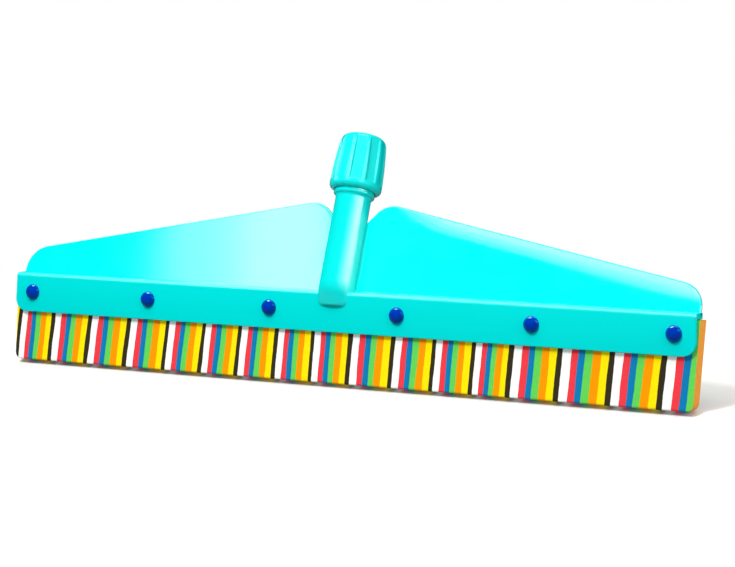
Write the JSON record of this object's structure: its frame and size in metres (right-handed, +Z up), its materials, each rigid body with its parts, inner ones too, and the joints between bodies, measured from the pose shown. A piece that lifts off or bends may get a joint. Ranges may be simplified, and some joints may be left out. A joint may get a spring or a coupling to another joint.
{
  "type": "floor squeegee head",
  "caption": "Floor squeegee head: striped foam blade riveted behind the flap of a leaning, winged plastic frame, with a ribbed locking collar on its pole socket.",
  "frame": {"origin": "middle of the foam blade's wiping edge", "axes": "X along the blade, -Y towards the flap and the rivet heads (the front), +Z up through the upright blade; the pole socket leans back towards +Y"},
  "size_m": [0.4584, 0.0542, 0.1501],
  "materials": {
    "frame_plastic": "turquoise moulded polypropylene, glossy",
    "collar_plastic": "turquoise moulded polypropylene, glossy",
    "strip_plastic": "turquoise moulded polypropylene, glossy",
    "blade_foam": "closed-cell foam in coloured layers, matt",
    "rivet_plastic": "royal blue moulded plastic, glossy",
    "collet_plastic": "natural nylon, satin"
  },
  "bodies": {
    "frame": {"main_frame": "frame_plastic", "pole_socket": "frame_plastic", "foam_blade": "blade_foam", "rear_clamp_strip": "strip_plastic", "rivet_1": "rivet_plastic", "rivet_2": "rivet_plastic", "rivet_3": "rivet_plastic", "rivet_4": "rivet_plastic", "rivet_5": "rivet_plastic", "rivet_6": "rivet_plastic", "rivet_cap_1": "rivet_plastic", "rivet_cap_2": "rivet_plastic", "rivet_cap_3": "rivet_plastic", "rivet_cap_4": "rivet_plastic", "rivet_cap_5": "rivet_plastic", "rivet_cap_6": "rivet_plastic"},
    "collet": {"split_collet": "collet_plastic"},
    "collar": {"locking_collar": "collar_plastic"}
  },
  "joints": [
    {"name": "collet_lift", "type": "slide", "parent": "frame", "child": "collet", "axis": [0, 0.3123, 0.95], "range_m": [0, 0.0051]},
    {"name": "collar_turn", "type": "hinge", "parent": "collet", "child": "collar", "pos_m": [0, -0.0026, 0.0553], "axis": [0, 0.3123, 0.95], "range_deg": [0, 720]}
  ],
  "couplings": [
    {"joint": "collet_lift", "follows": "collar_turn", "m_per_rad": 0.00039789}
  ]
}
